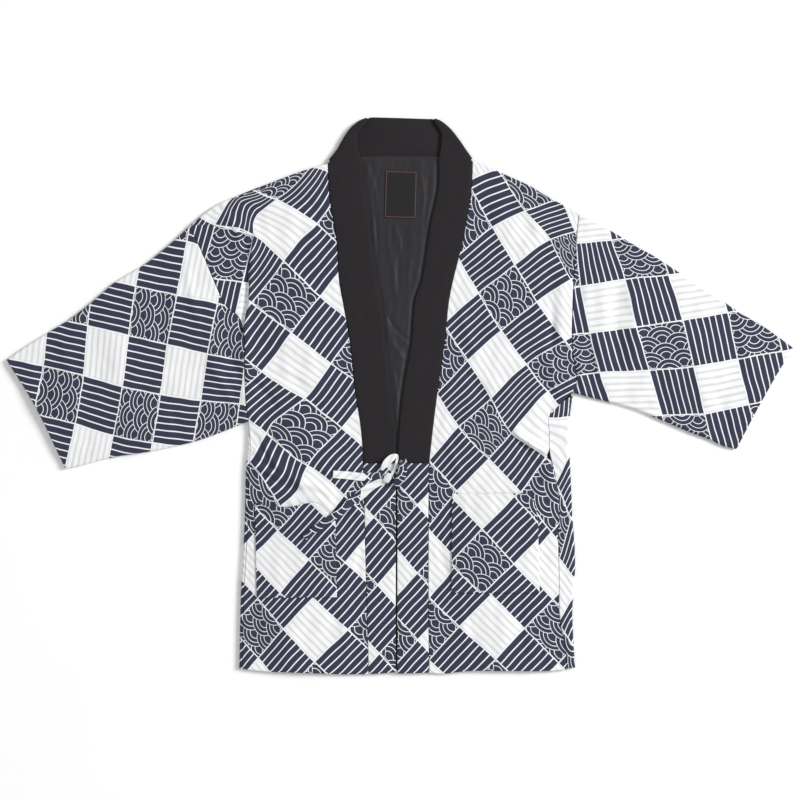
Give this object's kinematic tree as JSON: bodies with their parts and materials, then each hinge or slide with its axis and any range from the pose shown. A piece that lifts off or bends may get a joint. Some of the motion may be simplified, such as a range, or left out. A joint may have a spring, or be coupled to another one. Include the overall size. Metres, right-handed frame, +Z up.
{
  "type": "hanten jacket laid flat",
  "caption": "Short padded Japanese house jacket laid flat: wide sleeves, black collar over a printed band, patch pockets and a tied bow.",
  "frame": {"origin": "middle of the jacket's outline, on the surface it lies on", "axes": "+X across the jacket from one cuff towards the other, +Y from the hem towards the collar, +Z up from the surface"},
  "size_m": [1.2992, 0.92, 0.0185],
  "materials": {
    "print_cloth": "matt printed cotton in navy and white",
    "black_cloth": "matt black plain weave",
    "lining_cloth": "charcoal lining with a slight sheen",
    "label_cloth": "plain woven label with a thin border",
    "tie_cloth": "matt printed cotton, mostly its white parts"
  },
  "bodies": {
    "root": {"back": "print_cloth", "back_lining": "lining_cloth", "front_left": "print_cloth", "front_right": "print_cloth", "sleeve_left": "print_cloth", "sleeve_right": "print_cloth", "collar": "black_cloth", "band_left": "print_cloth", "band_right": "print_cloth", "pocket_left": "print_cloth", "pocket_right": "print_cloth", "label": "label_cloth", "tie_knot": "tie_cloth", "tie_loop_white": "tie_cloth", "tie_loop_navy": "print_cloth", "tie_tail_short": "tie_cloth", "tie_tail_long": "print_cloth"}
  },
  "joints": []
}
